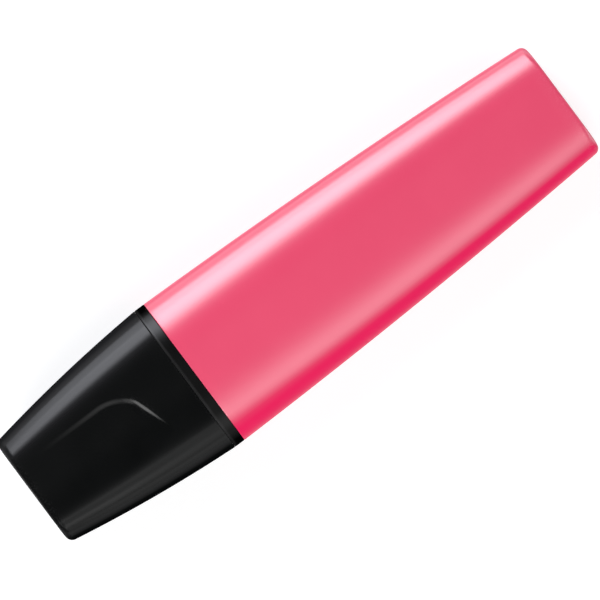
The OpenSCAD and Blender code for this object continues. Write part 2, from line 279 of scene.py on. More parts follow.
@dataclass(frozen=True)
class Moulding:
    """Moulded plastic: faint flow mottling, mould grain, orange peel, hairline scuffs, worn edges.

    The shine is a coat whose weight follows the piece's painted gloss and falls off at grazing angles.
    """

    name: str
    colour: Colour
    roughness: float = 0.5
    specular: float = 0.0
    coat: float = 1.0
    coat_roughness: float = 0.1
    coat_ior: float = 1.5
    graze: Span = (0.72, 0.5)
    graze_left: float = 0.15
    mottle: float = 0.06
    mottle_scale: float = 0.11
    mottle_pale: float = 0.25
    peel_scale: float = 0.6
    peel_height: float = 0.003
    grain_size: float = 0.25
    grain_height: float = 0.0008
    rough_spread: float = 0.02
    scuff: float = 0.08
    scuff_depth: float = 0.001
    scuff_width: float = 0.012
    scuff_scale: float = 0.05
    scuff_patch: Span = (0.5, 0.65)
    scuff_turns: Span = (12.0, -23.0)
    scuff_stretch: Triple = (0.05, 1.6, 0.4)
    edge_tint: float = 0.12
    edge_rough: float = 0.06
    edge_grain: Span = (0.45, 0.75)
    # Painted shade: the steep sides turn to this deeper colour, mostly the lower side, where gloss is low.
    painted_shade_colour: Optional[Colour] = None
    painted_shade_lean: Span = (0.2, 0.5)
    painted_shade_gloss: float = 0.85
    # Painted highlight: a paler colour that glows next to a crease.
    painted_highlight_colour: Optional[Colour] = None
    collar_dark: float = 0.0
    seam: Optional[tuple[Vector, float]] = None
    seam_width: Span = (0.09, 0.02)
    seam_height: float = 0.02

    def material(self) -> Material:
        """Builds the material.

        Returns:
            The finished material.
        """
        material, graph = new_material(self.name)
        place = graph.place()
        cloud = graph.noise(place, self.mottle_scale, detail=3.0)
        peel = graph.noise(place, self.peel_scale, detail=1.0)
        grain = graph.noise(place, 1.0 / self.grain_size)
        edge = graph.attribute("edge")
        gloss = graph.attribute("gloss")
        scuffs = self._scuffs(graph, place)
        colour = self._colour(graph, cloud, gloss)
        worn = tuple(c + (1.0 - c) * self.edge_tint for c in self.colour)
        colour = graph.mix(edge * grain.ramp(*self.edge_grain), colour, worn)
        rough = self.roughness + (cloud - 0.5) * self.rough_spread + (grain - 0.5) * self.rough_spread
        rough = rough + scuffs * self.scuff + edge * self.edge_rough
        height = peel * self.peel_height + grain * self.grain_height - scuffs * self.scuff_depth
        if self.seam is not None:
            axis, level = self.seam
            off = abs(graph.along(place, axis) - level)
            height = height + off.ramp(*self.seam_width) * self.seam_height
        varying = {"Base Color": colour, "Roughness": rough, "Normal": graph.bump(height)}
        fixed = {"Specular IOR Level": self.specular}
        if self.coat > 0.0:
            facing = graph.node("ShaderNodeLayerWeight", None, {"Blend": 0.5}, "Facing")
            head_on = self.graze_left + facing.ramp(*self.graze) * (1.0 - self.graze_left)
            varying["Coat Weight"] = gloss * head_on * self.coat
            fixed["Coat Roughness"] = self.coat_roughness
            fixed["Coat IOR"] = self.coat_ior
        shade(graph, varying, fixed)
        return material

    def _colour(self, graph: Graph, cloud: Val, gloss: Val) -> Val:
        """Colour before wear: mottled, deepened as painted shade on the steep sides where gloss is low,
        paler as a painted highlight next to a crease, and darkened on the collar.

        Args:
            graph: The material's graph.
            cloud: The mottling.
            gloss: The painted gloss.

        Returns:
            The colour.
        """
        dark = tuple(c * (1.0 - self.mottle) for c in self.colour)
        pale = tuple(c + (1.0 - c) * self.mottle * self.mottle_pale for c in self.colour)
        colour = graph.mix(cloud.ramp(*NOISE_SPAN), dark, pale)
        # Painted shade: deeper colour on the steep sides, less where the gloss is high.
        if self.painted_shade_colour is not None:
            painted_shade = graph.attribute("side").ramp(*self.painted_shade_lean) * (1.0 - gloss * self.painted_shade_gloss)
            colour = graph.mix(painted_shade, colour, self.painted_shade_colour)
        # Painted highlight: paler colour where the piece is painted next to a crease.
        if self.painted_highlight_colour is not None:
            colour = graph.mix(graph.attribute("painted_highlight"), colour, self.painted_highlight_colour)
        if self.collar_dark > 0.0:
            colour = graph.mix(graph.attribute("collar") * self.collar_dark, colour, (0.0, 0.0, 0.0))
        return colour

    def _scuffs(self, graph: Graph, place: Val) -> Val:
        """Hairline scuffs: thin streaks where stretched noise passes its middle, in two directions.

        Args:
            graph: The material's graph.
            place: Place in millimetres.

        Returns:
            0 on clean plastic and 1 in a scuff.
        """
        patches = graph.noise(place, self.scuff_scale).ramp(*self.scuff_patch)
        drawn = (graph.stretched(place, self.scuff_stretch, turn) for turn in self.scuff_turns)
        streaks = (graph.noise(run, 1.0, detail=3.0) for run in drawn)
        first, second = (abs(streak - 0.5).ramp(self.scuff_width, 0.0) for streak in streaks)
        return (first + second) * patches


@dataclass(frozen=True)
class Felt:
    """Bonded fibre soaked with ink: streaks along the pen, paler fibres, a paler +Y side that is a painted
    highlight, a wet darker tip.
    """

    name: str
    colour: Colour
    pale: Colour
    deep: Colour
    wet_end: float
    wet_length: float
    fine_share: float = 0.6
    fibre_stretch: Triple = (0.25, 6.0, 6.0)
    fibre_step: Span = (0.42, 0.75)
    fibre_pale: float = 0.25
    fibre_height: float = 0.012
    # Painted highlight: the +Y side of the fibre is paler, as if lit from there.
    painted_light_step: Span = (0.2, 2.6)
    painted_light_share: float = 0.75
    pore_scale: float = 5.0
    pore_step: Span = (0.5, 0.3)
    pore_deep: float = 0.35
    pore_height: float = 0.01
    soak_scale: float = 0.45
    soak_deep: float = 0.35
    wet_deep: float = 0.5
    ink_deep: float = 0.7
    roughness: float = 0.62
    wet_smooth: float = 0.12
    pore_rough: float = 0.2
    specular: float = 0.35

    def material(self) -> Material:
        """Builds the material.

        Returns:
            The finished material.
        """
        material, graph = new_material(self.name)
        place = graph.place()
        along = graph.along(place, Vector((1.0, 0.0, 0.0)))
        across = graph.along(place, Vector((0.0, 1.0, 0.0)))
        drawn = graph.stretched(place, self.fibre_stretch)
        fibres = graph.noise(drawn, 1.0, detail=4.0, roughness=self.fine_share)
        pores = graph.noise(place, self.pore_scale, detail=3.0, roughness=self.fine_share)
        soak = graph.noise(place, self.soak_scale)
        wet = along.ramp(self.wet_end + self.wet_length, self.wet_end)
        ink = (wet * self.wet_deep + soak * self.soak_deep) * self.ink_deep
        colour = graph.mix(fibres.ramp(*self.fibre_step) * self.fibre_pale, self.colour, self.pale)
        # Painted highlight: paler towards +Y across the pen.
        colour = graph.mix(across.ramp(*self.painted_light_step) * self.painted_light_share, colour, self.pale)
        colour = graph.mix(pores.ramp(*self.pore_step) * self.pore_deep, colour, self.deep)
        colour = graph.mix(ink, colour, self.deep)
        rough = self.roughness - wet * self.wet_smooth + (pores - 0.5) * self.pore_rough
        height = fibres * self.fibre_height + pores * self.pore_height
        varying = {"Base Color": colour, "Roughness": rough, "Normal": graph.bump(height)}
        shade(graph, varying, {"Specular IOR Level": self.specular})
        return material


@dataclass(frozen=True)
class ClearFilm:
    """Thin clear wrap with faint winding creases."""

    name: str
    tint: Colour
    alpha: float
    crease_stretch: Triple = (0.8, 0.2, 0.2)
    crease_turn: float = 20.0
    crease_step: Span = (0.55, 0.75)
    crease_shade: float = 0.9
    crease_height: float = 0.02
    crease_alpha: float = 0.2
    crease_rough: float = 0.12
    roughness: float = 0.18
    specular: float = 0.5

    def material(self) -> Material:
        """Builds the material.

        Returns:
            The finished material.
        """
        material, graph = new_material(self.name)
        wound = graph.stretched(graph.place(), self.crease_stretch, self.crease_turn)
        creases = graph.noise(wound, 1.0)
        shaded = tuple(c * self.crease_shade for c in self.tint)
        varying = {
            "Base Color": graph.mix(creases.ramp(*NOISE_SPAN), self.tint, shaded),
            "Roughness": self.roughness + creases * self.crease_rough,
            "Alpha": self.alpha + creases.ramp(*self.crease_step) * self.crease_alpha,
            "Normal": graph.bump(creases * self.crease_height),
        }
        shade(graph, varying, {"Specular IOR Level": self.specular})
        return material


# Surfaces


@dataclass(frozen=True)
class PenLie:
    """How the pen lies: tipped about Y until the barrel's lower face is level, then lifted to the floor."""

    tip: float
    lift: float
    middle: float

    @classmethod
    def from_frame(cls, half_thickness: float) -> "PenLie":
        """Reads the tip from the cap's slide and the middle from the barrel's box.

        Args:
            half_thickness: Half of the pen's thickness at the seam.

        Returns:
            The lie.
        """
        tip = math.asin(frame["joints"][0]["axis"][2])
        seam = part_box("barrel")[0].x / MM + half_thickness * math.sin(tip)
        return cls(tip, half_thickness * math.cos(tip), -seam)

    def world(self, points: Array) -> Array:
        """Turns points of the pen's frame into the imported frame.

        Args:
            points: Array of any shape whose last axis holds x, y and z in millimetres.

        Returns:
            The same array in metres.
        """
        x, y, z = np.moveaxis(points, -1, 0)
        along = x * math.cos(self.tip) + z * math.sin(self.tip) - self.middle
        height = z * math.cos(self.tip) - x * math.sin(self.tip) + self.lift
        return np.stack([along, y, height], axis=-1) * MM

    def mid_plane(self) -> tuple[Vector, float]:
        """Middle plane of the pen.

        Returns:
            Its normal and its distance from the origin in millimetres.
        """
        normal = Vector((math.sin(self.tip), 0.0, math.cos(self.tip)))
        point = Vector(self.world(np.zeros(3))) / MM
        return normal, normal.dot(point)


@dataclass(frozen=True)
class RoundSection:
    """Columns round a section: a level face on each broad side and four superellipse corners.

    A corner is y = strip + (width - strip) sin(a)^(2/power), z = thickness cos(a)^(2/power). The angle a
    runs from the planing angle, where the level face ends, to the side, and is spread so that the columns
    are about evenly spaced.
    """

    corner: int
    face: int

    def columns(self) -> tuple[Array, Array, Array, Array]:
        """Signs, corner places and face places of the columns.

        Returns:
            The sign of y, the sign of z, the place along a corner from 0 at the face to 1 at the side, and
            the place across the face, which is not a number on the corners.
        """
        up = np.arange(self.corner) / self.corner
        across = np.linspace(1.0, -1.0, self.face + 1)
        bare = np.full(self.corner, np.nan)
        parts = (
            (1, 1, 1.0 - up, bare),
            (1, 1, np.zeros_like(across), across),
            (-1, 1, up + 1.0 / self.corner, bare),
            (-1, -1, 1.0 - up[1:], bare[1:]),
            (1, -1, np.zeros_like(across), -across),
            (1, -1, up[1:], bare[1:]),
        )
        counts = [len(part[2]) for part in parts]
        sign_y, sign_z = (np.repeat([part[i] for part in parts], counts) for i in (0, 1))
        quarter, flat = (np.concatenate([part[i] for part in parts]) for i in (2, 3))
        return sign_y, sign_z, quarter, flat

    def points(self, stations: Array) -> Array:
        """Carries the section along stations.

        Args:
            stations: Rows of x, half width, half thickness, half strip, power and planing angle.

        Returns:
            Array of rows by columns by x, y and z.
        """
        sign_y, sign_z, quarter, flat = self.columns()
        x, width, thick, strip, power, plane = (stations[:, i, None] for i in range(6))
        start = plane / (0.5 * np.pi)
        skipped = start ** (2.0 / power) / (start ** (2.0 / power) + (1.0 - start) ** (2.0 / power))
        place = skipped + (1.0 - skipped) * quarter
        spread = place ** (power / 2.0)
        angle = 0.5 * np.pi * spread / (spread + (1.0 - place) ** (power / 2.0))
        corner_y = strip + (width - strip) * np.sin(angle) ** (2.0 / power)
        face_y = strip + (width - strip) * np.sin(plane) ** (2.0 / power)
        y = np.where(np.isnan(flat), sign_y * corner_y, np.nan_to_num(flat) * face_y)
        z = sign_z * thick * np.clip(np.cos(angle), 0.0, None) ** (2.0 / power)
        return joined(x, y, z)


def joined(x: Array, y: Array, z: Array) -> Array:
    """Points from their three coordinates, which are spread to one shape."""
    return np.stack(np.broadcast_arrays(x, y, z), axis=-1)


def steepness(points: Array) -> Array:
    """Lean round the sides, from the slope between neighbours: 0 level across the pen, 1 upright."""
    step = np.abs(np.roll(points, -1, axis=1) - np.roll(points, 1, axis=1))
    return np.arctan2(step[..., 2], step[..., 1]) / (0.5 * np.pi)


def off_end(distance: Array, edge: float) -> Array:
    """Sine of the angle turned from an end's face, 0, to the side, 1, over a rounded edge, as a column."""
    share = np.clip(distance / edge, 0.0, 1.0)
    return np.sqrt(share * (2.0 - share))[:, None]


def smooth(share: Array) -> Array:
    """Smooth step from 0 to 1, 3 s^2 - 2 s^3 of the share held between 0 and 1."""
    held = np.clip(share, 0.0, 1.0)
    return held * held * (3.0 - 2.0 * held)


def hump(distance: Array, width: Numbers) -> Array:
    """Bell curve exp(-(distance / width)^2)."""
    return np.exp(-((distance / width) ** 2))


def bowed(t: Array, bow: float) -> Array:
    """Course of a bowed taper from 0 to 1, (1 - bow) t + bow t^2."""
    return (1.0 - bow) * t + bow * t * t


def dulled(steep: Array, start: Numbers, stop: Numbers) -> Array:
    """Gloss of a sheet that turns dull as it leans, a smooth step from 1 at start down to 0 at stop."""
    return 1.0 - smooth((steep - start) / (stop - start))


def lower_dull(points: Array, share: Numbers, run: float = 4.0) -> Array:
    """Gloss left on the lower side, handled more: a smooth step across from 1 to 1 - share."""
    return 1.0 - share * (1.0 - dulled(-points[..., 1], 0.0, run))


def turned(profile: Array, columns: int) -> Array:
    """Turns a profile round the pen's axis.

    Args:
        profile: Rows of radius and x.
        columns: Points round the axis.

    Returns:
        Array of rows by columns by x, y = radius cos(angle) and z = radius sin(angle).
    """
    angle = 2.0 * np.pi * np.arange(columns) / columns
    radius, x = profile[:, 0, None], profile[:, 1, None]
    return joined(x, radius * np.cos(angle), radius * np.sin(angle))


def fillet(radius: float, steps: int) -> tuple[Array, Array]:
    """Rounded edge by a quarter turn: distance from the end, radius (1 - cos), inset, radius (1 - sin)."""
    angle = np.radians(np.linspace(0.0, 90.0, steps + 1))
    return radius * (1.0 - np.cos(angle)), radius * (1.0 - np.sin(angle))


def eased(profile: Array, radius: float, steps: int = 4, most: float = 0.45) -> Array:
    """Rounds every corner of a closed profile.

    Args:
        profile: Corner points in order, without a repeated last point.
        radius: Distance from a corner at which its rounding starts.
        steps: Steps of each rounding, which is the parabola through the two ends and towards the corner.
        most: Greatest share of a side that one rounding takes.

    Returns:
        The rounded profile.
    """
    before, after = np.roll(profile, 1, axis=0), np.roll(profile, -1, axis=0)
    back, ahead = before - profile, after - profile
    back_len = np.linalg.norm(back, axis=1, keepdims=True)
    ahead_len = np.linalg.norm(ahead, axis=1, keepdims=True)
    first = profile + back / back_len * np.minimum(radius, back_len * most)
    last = profile + ahead / ahead_len * np.minimum(radius, ahead_len * most)
    t = np.linspace(0.0, 1.0, steps + 1)[None, :, None]
    curve = (1 - t) ** 2 * first[:, None] + 2 * t * (1 - t) * profile[:, None] + t**2 * last[:, None]
    return curve.reshape(-1, profile.shape[1])


def linked(name: str, data: bpy.types.ID) -> Piece:
    """Puts a new object into the scene.

    Args:
        name: The object's name.
        data: Its mesh, lamp or camera.

    Returns:
        The new object.
    """
    made = bpy.data.objects.new(name, data)
    bpy.context.scene.collection.objects.link(made)
    return made


def skin(name: str, rows: Array, ends: Ends, edge: Optional[Array] = None) -> Piece:
    """Makes a closed mesh from a sheet of points whose columns run round the piece.

    Args:
        name: The piece's name.
        rows: Rows by columns by x, y and z in metres.
        ends: How the first and last row are closed: by a fan to their middle, by joining them to each
            other, or, where the first row is folded flat, by merging its points, with a fan on the last.
        edge: Wear along edges for each row, or for each row and column.

    Returns:
        The new object.
    """
    count, around = rows.shape[:2]
    index = np.arange(count * around).reshape(count, around)
    wrapped = np.concatenate([index, index[:1]]) if ends is Ends.LOOP else index
    ahead = np.roll(wrapped, -1, axis=1)
    quads = np.stack([wrapped[:-1], wrapped[1:], ahead[1:], ahead[:-1]], axis=-1).reshape(-1, 4)
    points = rows.reshape(-1, 3)
    faces = quads.tolist()
    wear = np.zeros((count, 1)) if edge is None else edge.reshape(count, -1)
    wear = np.broadcast_to(wear, (count, around)).reshape(-1)
    fans = {Ends.FAN: (0, count - 1), Ends.PINCH: (count - 1,), Ends.LOOP: ()}[ends]
    for row in fans:
        middle = np.full(around, len(points))
        ring, following = index[row], np.roll(index[row], -1)
        fan = [ring, following, middle] if row == 0 else [following, ring, middle]
        faces += np.stack(fan, axis=-1).tolist()
        points = np.vstack([points, rows[row].mean(axis=0)])
        wear = np.append(wear, 0.0)
    if signed_volume(points, quads) < 0.0:
        faces = [f[::-1] for f in faces]
    mesh = bpy.data.meshes.new(name)
    mesh.from_pydata(points.tolist(), [], faces)
    mesh.attributes.new("edge", "FLOAT", "POINT").data.foreach_set("value", wear.astype(np.float32))
    mesh.shade_smooth()
    mesh.set_sharp_from_angle(angle=math.radians(SHARP_ANGLE))
    return linked(name, mesh)


def paint(piece: Piece, name: str, values: Array, rest: float = 0.0) -> None:
    """Stores a value for each point of a piece.

    Args:
        piece: The piece.
        name: The attribute's name.
        values: The values in the order of the points, by rows and columns.
        rest: Value of the points past the end of the values.
    """
    whole = np.full(len(piece.data.vertices), rest, dtype=np.float32)
    whole[: values.size] = values.reshape(-1)
    piece.data.attributes.new(name, "FLOAT", "POINT").data.foreach_set("value", whole)


def signed_volume(points: Array, quads: Array) -> float:
    """Volume inside a skin of quads about its middle, negative when the quads face inwards.

    Args:
        points: The points.
        quads: Four point numbers for each face.

    Returns:
        A sixth of the sum of the triple products of the two halves of each quad.
    """
    a, b, c, d = (points[quads[:, i]] - points.mean(axis=0) for i in range(4))
    halves = np.einsum("ij,ij->i", a, np.cross(b, c)) + np.einsum("ij,ij->i", a, np.cross(c, d))
    return float(halves.sum() / 6.0)


def merge_doubles(piece: Piece) -> None:
    """Welds points that lie on each other.

    Args:
        piece: The piece.
    """
    work = bmesh.new()
    work.from_mesh(piece.data)
    bmesh.ops.remove_doubles(work, verts=work.verts, dist=WELD)
    bmesh.ops.dissolve_degenerate(work, edges=work.edges, dist=WELD)
    work.to_mesh(piece.data)
    work.free()


def fit_out(piece: Piece, node: str, body: Body, finish: Union[Moulding, Felt]) -> None:
    """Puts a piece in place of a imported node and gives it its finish.

    Args:
        piece: The new piece.
        node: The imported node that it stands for.
        body: The body that it rides on.
        finish: Its finish.
    """
    piece.data.materials.append(finish.material())
    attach(piece, body.value)
    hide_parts(node)
    log.info("%s stands for %s, %d faces", piece.name, node, len(piece.data.polygons))


# Pieces


@dataclass(frozen=True)
class BarrelShape:
    """Outline of the barrel, which the collar continues."""

    length: float = 73.0
    seam_width: float = 26.9
    rear_width: float = 20.7
    seam_thickness: float = 17.0
    rear_thickness: float = 14.8
    bow: float = 0.7
    strip: float = 4.0
    seam_power: float = 3.0
    rear_power: float = 3.7

    def at(self, x: Array, inset: Numbers = 0.0) -> Array:
        """Sections along the barrel: a bowed taper in width, a straight one in thickness.

        Args:
            x: Places along the pen.
            inset: How far the section is drawn in all round.

        Returns:
            Rows of stations for RoundSection.
        """
        t = np.asarray(x, dtype=float) / self.length
        width = self.seam_width - (self.seam_width - self.rear_width) * bowed(t, self.bow)
        thick = self.seam_thickness - (self.seam_thickness - self.rear_thickness) * t
        power = self.seam_power + (self.rear_power - self.seam_power) * t
        strip = np.full_like(t, self.strip / 2.0)
        halves = width / 2.0 - inset, thick / 2.0 - inset
        return np.stack([t * self.length, *halves, strip, power, np.zeros_like(t)], axis=-1)


@dataclass
class Barrel:
    """Pink shell, closed at the rear, open towards the collar."""

    lie: PenLie
    finish: Moulding
    shape: BarrelShape = field(default_factory=BarrelShape)
    section: RoundSection = RoundSection(corner=28, face=12)
    wall: float = 1.4
    rear_edge: float = 1.0
    rear_steps: int = 12
    rear_drop: float = 0.5
    rear_wear: Span = (0.6, 0.6)
    mouth_edge: float = 0.12
    mouth_steps: int = 4
    outside_rows: int = 50
    inside_rows: int = 9
    spigot_room: float = 9.0
    inner_x: float = 3.0
    dull_start: Span = (0.155, 0.26)
    dull_stop: Span = (0.335, 0.5)

    def rows(self) -> Array:
        """Sections in order: rounded rear edge, outside, mouth edge, inside.

        Returns:
            Rows of stations.
        """
        shape, edge = self.shape, self.rear_edge
        behind, inset = fillet(edge, self.rear_steps)
        rear = shape.at(shape.length - behind, inset)
        rear[:, 2] += inset - self.rear_drop * (inset / edge) ** 2
        face = rear[:1] - np.array([[0.0, edge, edge, 0.0, 0.0, 0.0]])
        outside = shape.at(np.linspace(shape.length - edge, self.mouth_edge, self.outside_rows)[1:])
        behind, inset = fillet(self.mouth_edge, self.mouth_steps)
        mouth = shape.at(inset, behind)[1:]
        room = np.repeat(shape.at(np.array([self.inner_x]), self.wall), 2, axis=0)
        room[:, 0] = 0.0, self.spigot_room
        deep = np.linspace(self.spigot_room, shape.length - self.wall, self.inside_rows)
        inside = shape.at(deep[1:], self.wall)
        return np.concatenate([face, rear, outside, mouth, room, inside])

    def make(self) -> None:
        """Builds the shell and dresses it."""
        stations = self.rows()
        x = stations[:, 0]
        from_rear = self.shape.length - x
        worn_at, worn_width = self.rear_wear
        wear = hump(from_rear - worn_at, worn_width)
        wear[0] = 0.0
        points = self.section.points(stations)
        piece = skin("barrel_shell", self.lie.world(points), Ends.FAN, wear)
        steep = steepness(points) * off_end(from_rear, self.rear_edge)
        ends = (0.0, self.shape.length)
        start, stop = (np.interp(x, ends, v)[:, None] for v in (self.dull_start, self.dull_stop))
        # Painted shade: the pink deepens on the steep sides where this gloss is low, so chiefly on the
        # lower side.
        gloss = np.where(points[..., 1] < 0.0, dulled(steep, start, stop), 1.0)
        paint(piece, "side", steep)
        paint(piece, "gloss", gloss, 1.0)
        fit_out(piece, "barrel", Body.PEN, self.finish)


@dataclass
class FrontSection:
    """Black moulding: hollow funnel from the round neck to the rim, collar, spigot inside the barrel."""

    lie: PenLie
    finish: Moulding
    shape: BarrelShape = field(default_factory=BarrelShape)
    section: RoundSection = RoundSection(corner=24, face=10)
    collar: float = 1.75
    rim: float = 0.92
    funnel: float = 14.27
    neck_r: float = 3.85
    bore_r: float = 3.22
    rim_half_width: float = 11.95
    rim_half_thickness: float = 6.4
    rim_strip: float = 5.0
    rim_power: float = 2.85
    edge: float = 0.12
    edge_steps: int = 6
    spigot: float = 8.0
    spigot_x: float = 3.0
    spigot_inset: float = 1.45
    spigot_wall: float = 1.3
    spigot_lead: Span = (0.6, 0.4)
    funnel_wall: float = 1.5
    funnel_rows: int = 60
    funnel_arc: float = 58.0
    hollow: Triple = (0.87, 0.78, 0.7)
    collar_rows: int = 8
    reach: float = 0.09
    wear: float = 0.5
    wear_width: float = math.sqrt(0.15)
    front_edge: float = 0.14
    # Painted highlight: the collar's front strip, up to this distance, keeps the lighter satin colour as a
    # light line.
    painted_highlight_strip: float = 0.36
    dull_side: float = 0.3
    dull_lean: Span = (0.2, 0.68)
    dull_dip: Triple = (-7.2, 1.8, 0.6)
    dull_funnel: float = 0.7
    collar_gloss: float = 0.5

    @property
    def rim_x(self) -> float:
        """Place of the step between collar and rim."""
        return -self.collar

    @property
    def funnel_x(self) -> float:
        """Place where the funnel meets the rim."""
        return self.rim_x - self.rim

    @property
    def neck_x(self) -> float:
        """Place where the funnel meets the neck."""
        return self.funnel_x - self.funnel

    def flare(self, s: Array, inset: float = 0.0) -> Array:
        """Sections of the funnel: arcs that leave the neck along the axis and rise to the rim.

        The rise over a distance s is R - sqrt(R^2 - s^2), where R makes the arc reach the rim.

        Args:
            s: Distances from the neck.
            inset: How far the section is drawn in all round.

        Returns:
            Rows of stations.
        """
        t = s / self.funnel
        halves = []
        for half in (self.rim_half_width, self.rim_half_thickness):
            rise = half - self.edge - self.neck_r
            arc = (self.funnel**2 + rise**2) / (2.0 * rise)
            halves.append(self.neck_r + arc - np.sqrt(arc**2 - s**2) - inset)
        power = 2.0 + (self.rim_power - 2.0) * t
        return np.stack([self.neck_x + s, *halves, self.rim_strip * t, power, np.zeros_like(t)], axis=-1)

    def _round(self, x: float, radius: float) -> Array:
        """Station of a round section."""
        return np.array([[x, radius, radius, 0.0, 2.0, 0.0]])

    def _step(self, base: Array, x: Array, inset: Array) -> Array:
        """Repeats one section at other places.

        Args:
            base: Station of the section.
            x: The places.
            inset: How far it is drawn in at each of them.

        Returns:
            Rows of stations.
        """
        rows = np.repeat(base, len(x), axis=0)
        rows[:, 0] = x
        rows[:, 1:3] -= inset[:, None]
        return rows

    def rows(self) -> Array:
        """Sections in order: bore, funnel, rim, collar, spigot, hollow.

        Returns:
            Rows of stations, the last of which joins the first.
        """
        front = self.rim_x - self.reach
        front_edge, edge = (fillet(radius, self.edge_steps) for radius in (self.front_edge, self.edge))
        bend = np.radians(np.linspace(0.0, self.funnel_arc, self.funnel_rows))
        s = self.funnel * np.sin(bend) / math.sin(bend[-1])
        halves = self.rim_half_width, self.rim_half_thickness
        rim = np.array([[0.0, *halves, self.rim_strip, self.rim_power, 0.0]])
        collar = self.shape.at(np.array([0.0]))
        along = np.linspace(front + self.front_edge, -self.edge, self.collar_rows + 1)[1:]
        spigot = self.shape.at(np.array([self.spigot_x]), self.spigot_inset)
        lead, drawn_in = self.spigot_lead
        spigot_x = np.array([0.0, self.spigot - lead, self.spigot])
        return np.concatenate(
            [
                self._round(self.neck_x + self.hollow[-1] * self.funnel, self.bore_r),
                self._round(self.neck_x, self.bore_r),
                self.flare(s),
                self._step(rim, np.array([self.funnel_x + self.edge, front]), np.zeros(2)),
                self._step(collar, front + front_edge[1], front_edge[0])[::-1],
                self._step(collar, along, np.zeros_like(along)),
                self._step(collar, -edge[1], edge[0])[1:],
                self._step(spigot, spigot_x, np.array([0.0, 0.0, drawn_in])),
                self._step(spigot, np.array([self.spigot, self.rim_x]), np.full(2, self.spigot_wall)),
                self.flare(np.array(self.hollow) * self.funnel, self.funnel_wall),
            ]
        )

    def make(self) -> None:
        """Builds the moulding and dresses it."""
        stations = self.rows()
        x = stations[:, 0]
        wear = self.wear * hump(x - self.rim_x, self.wear_width)
        points = self.section.points(stations)
        piece = skin("funnel_section", self.lie.world(points), Ends.LOOP, wear)
        on_collar = (x > self.rim_x - 2.0 * self.reach) & (x < 0.0)
        collar = np.repeat(on_collar.astype(float)[:, None], points.shape[1], axis=1)
        # Painted highlight: the collar's front strip is left undarkened, a light line at the seam with the
        # cap.
        paint(piece, "collar", collar * (x > self.rim_x + self.painted_highlight_strip)[:, None])
        middle, spread, dip = self.dull_dip
        on_funnel = lower_dull(points, self.dull_funnel)
        round_collar = dulled(steepness(points), *self.dull_lean) * lower_dull(points, self.dull_side)
        round_collar = round_collar * (1.0 - dip * hump(points[..., 1] - middle, spread))
        paint(piece, "gloss", on_funnel + collar * (self.collar_gloss * round_collar - on_funnel))
        fit_out(piece, "front_section", Body.PEN, self.finish)


@dataclass
class NibHolder:
    """Polished sleeve at the end of the funnel."""

    lie: PenLie
    finish: Moulding
    funnel: FrontSection
    length: float = 4.84
    chamfer: float = 0.45
    bore_r: float = 2.52
    shank_r: float = 3.2
    shank: float = 9.99
    bore_lead: Span = (0.5, 0.6)
    rounding: float = 0.16
    wear_width: float = math.sqrt(0.2)
    columns: int = 120
    polish: tuple[float, ...] = (0.04, 0.3, 0.05, 0.05, 1.0, 0.08, 0.05)
    polish_y: tuple[float, ...] = (-0.8, -0.68, -0.56, 0.28, 0.42, 0.58, 0.8)

    def shine(self, rows: int) -> Array:
        """Gloss round the sleeve, which is polished along two lines, by the share y / radius."""
        across = np.cos(2.0 * np.pi * np.arange(self.columns) / self.columns)
        return np.tile(np.interp(across, self.polish_y, self.polish), (rows, 1))

    def make(self) -> None:
        """Builds the sleeve and dresses it."""
        neck_x, neck_r = self.funnel.neck_x, self.funnel.neck_r
        front = neck_x - self.length
        wide, deep = (self.chamfer * share for share in self.bore_lead)
        profile = np.array(
            [
                (self.bore_r, front + deep),
                (self.bore_r + wide, front),
                (neck_r - self.chamfer, front),
                (neck_r, front + self.chamfer),
                (neck_r, neck_x),
                (self.shank_r, neck_x),
                (self.shank_r, neck_x + self.shank),
                (self.bore_r, neck_x + self.shank),
            ]
        )
        rounded = eased(profile, self.rounding)
        wear = hump(rounded[:, 1] - front, self.wear_width)
        piece = skin("nib_sleeve", self.lie.world(turned(rounded, self.columns)), Ends.LOOP, wear)
        paint(piece, "gloss", self.shine(len(rounded)))
        fit_out(piece, "nib_holder", Body.PEN, self.finish)


